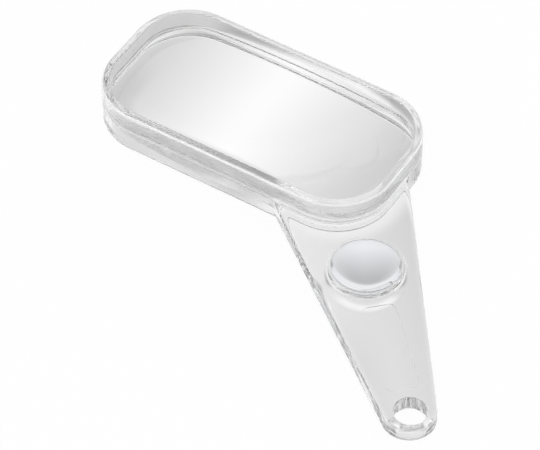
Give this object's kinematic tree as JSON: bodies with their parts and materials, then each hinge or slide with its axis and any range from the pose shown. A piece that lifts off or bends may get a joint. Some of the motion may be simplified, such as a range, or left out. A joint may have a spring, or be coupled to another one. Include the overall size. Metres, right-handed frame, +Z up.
{
  "type": "hand magnifier",
  "caption": "Clear acrylic hand magnifier with a rounded-rectangle lens, a small round high-power lens in its tapered handle and a hanging hole.",
  "frame": {"origin": "under the middle of the whole object, on the surface that the frame's underside rests on", "axes": "+X along the head's long side towards the handle, +Y from the handle's end towards the head, +Z up out of the lens"},
  "size_m": [0.1632, 0.1136, 0.016],
  "materials": {
    "frame_acrylic": "clear, polished",
    "lens_acrylic": "clear, optically polished",
    "coated_lens": "clear, coated, with a faint blue-green tint"
  },
  "bodies": {
    "root": {"base_frame": "frame_acrylic", "upper_rim": "frame_acrylic", "main_lens": "lens_acrylic", "small_lens": "coated_lens"}
  },
  "joints": []
}
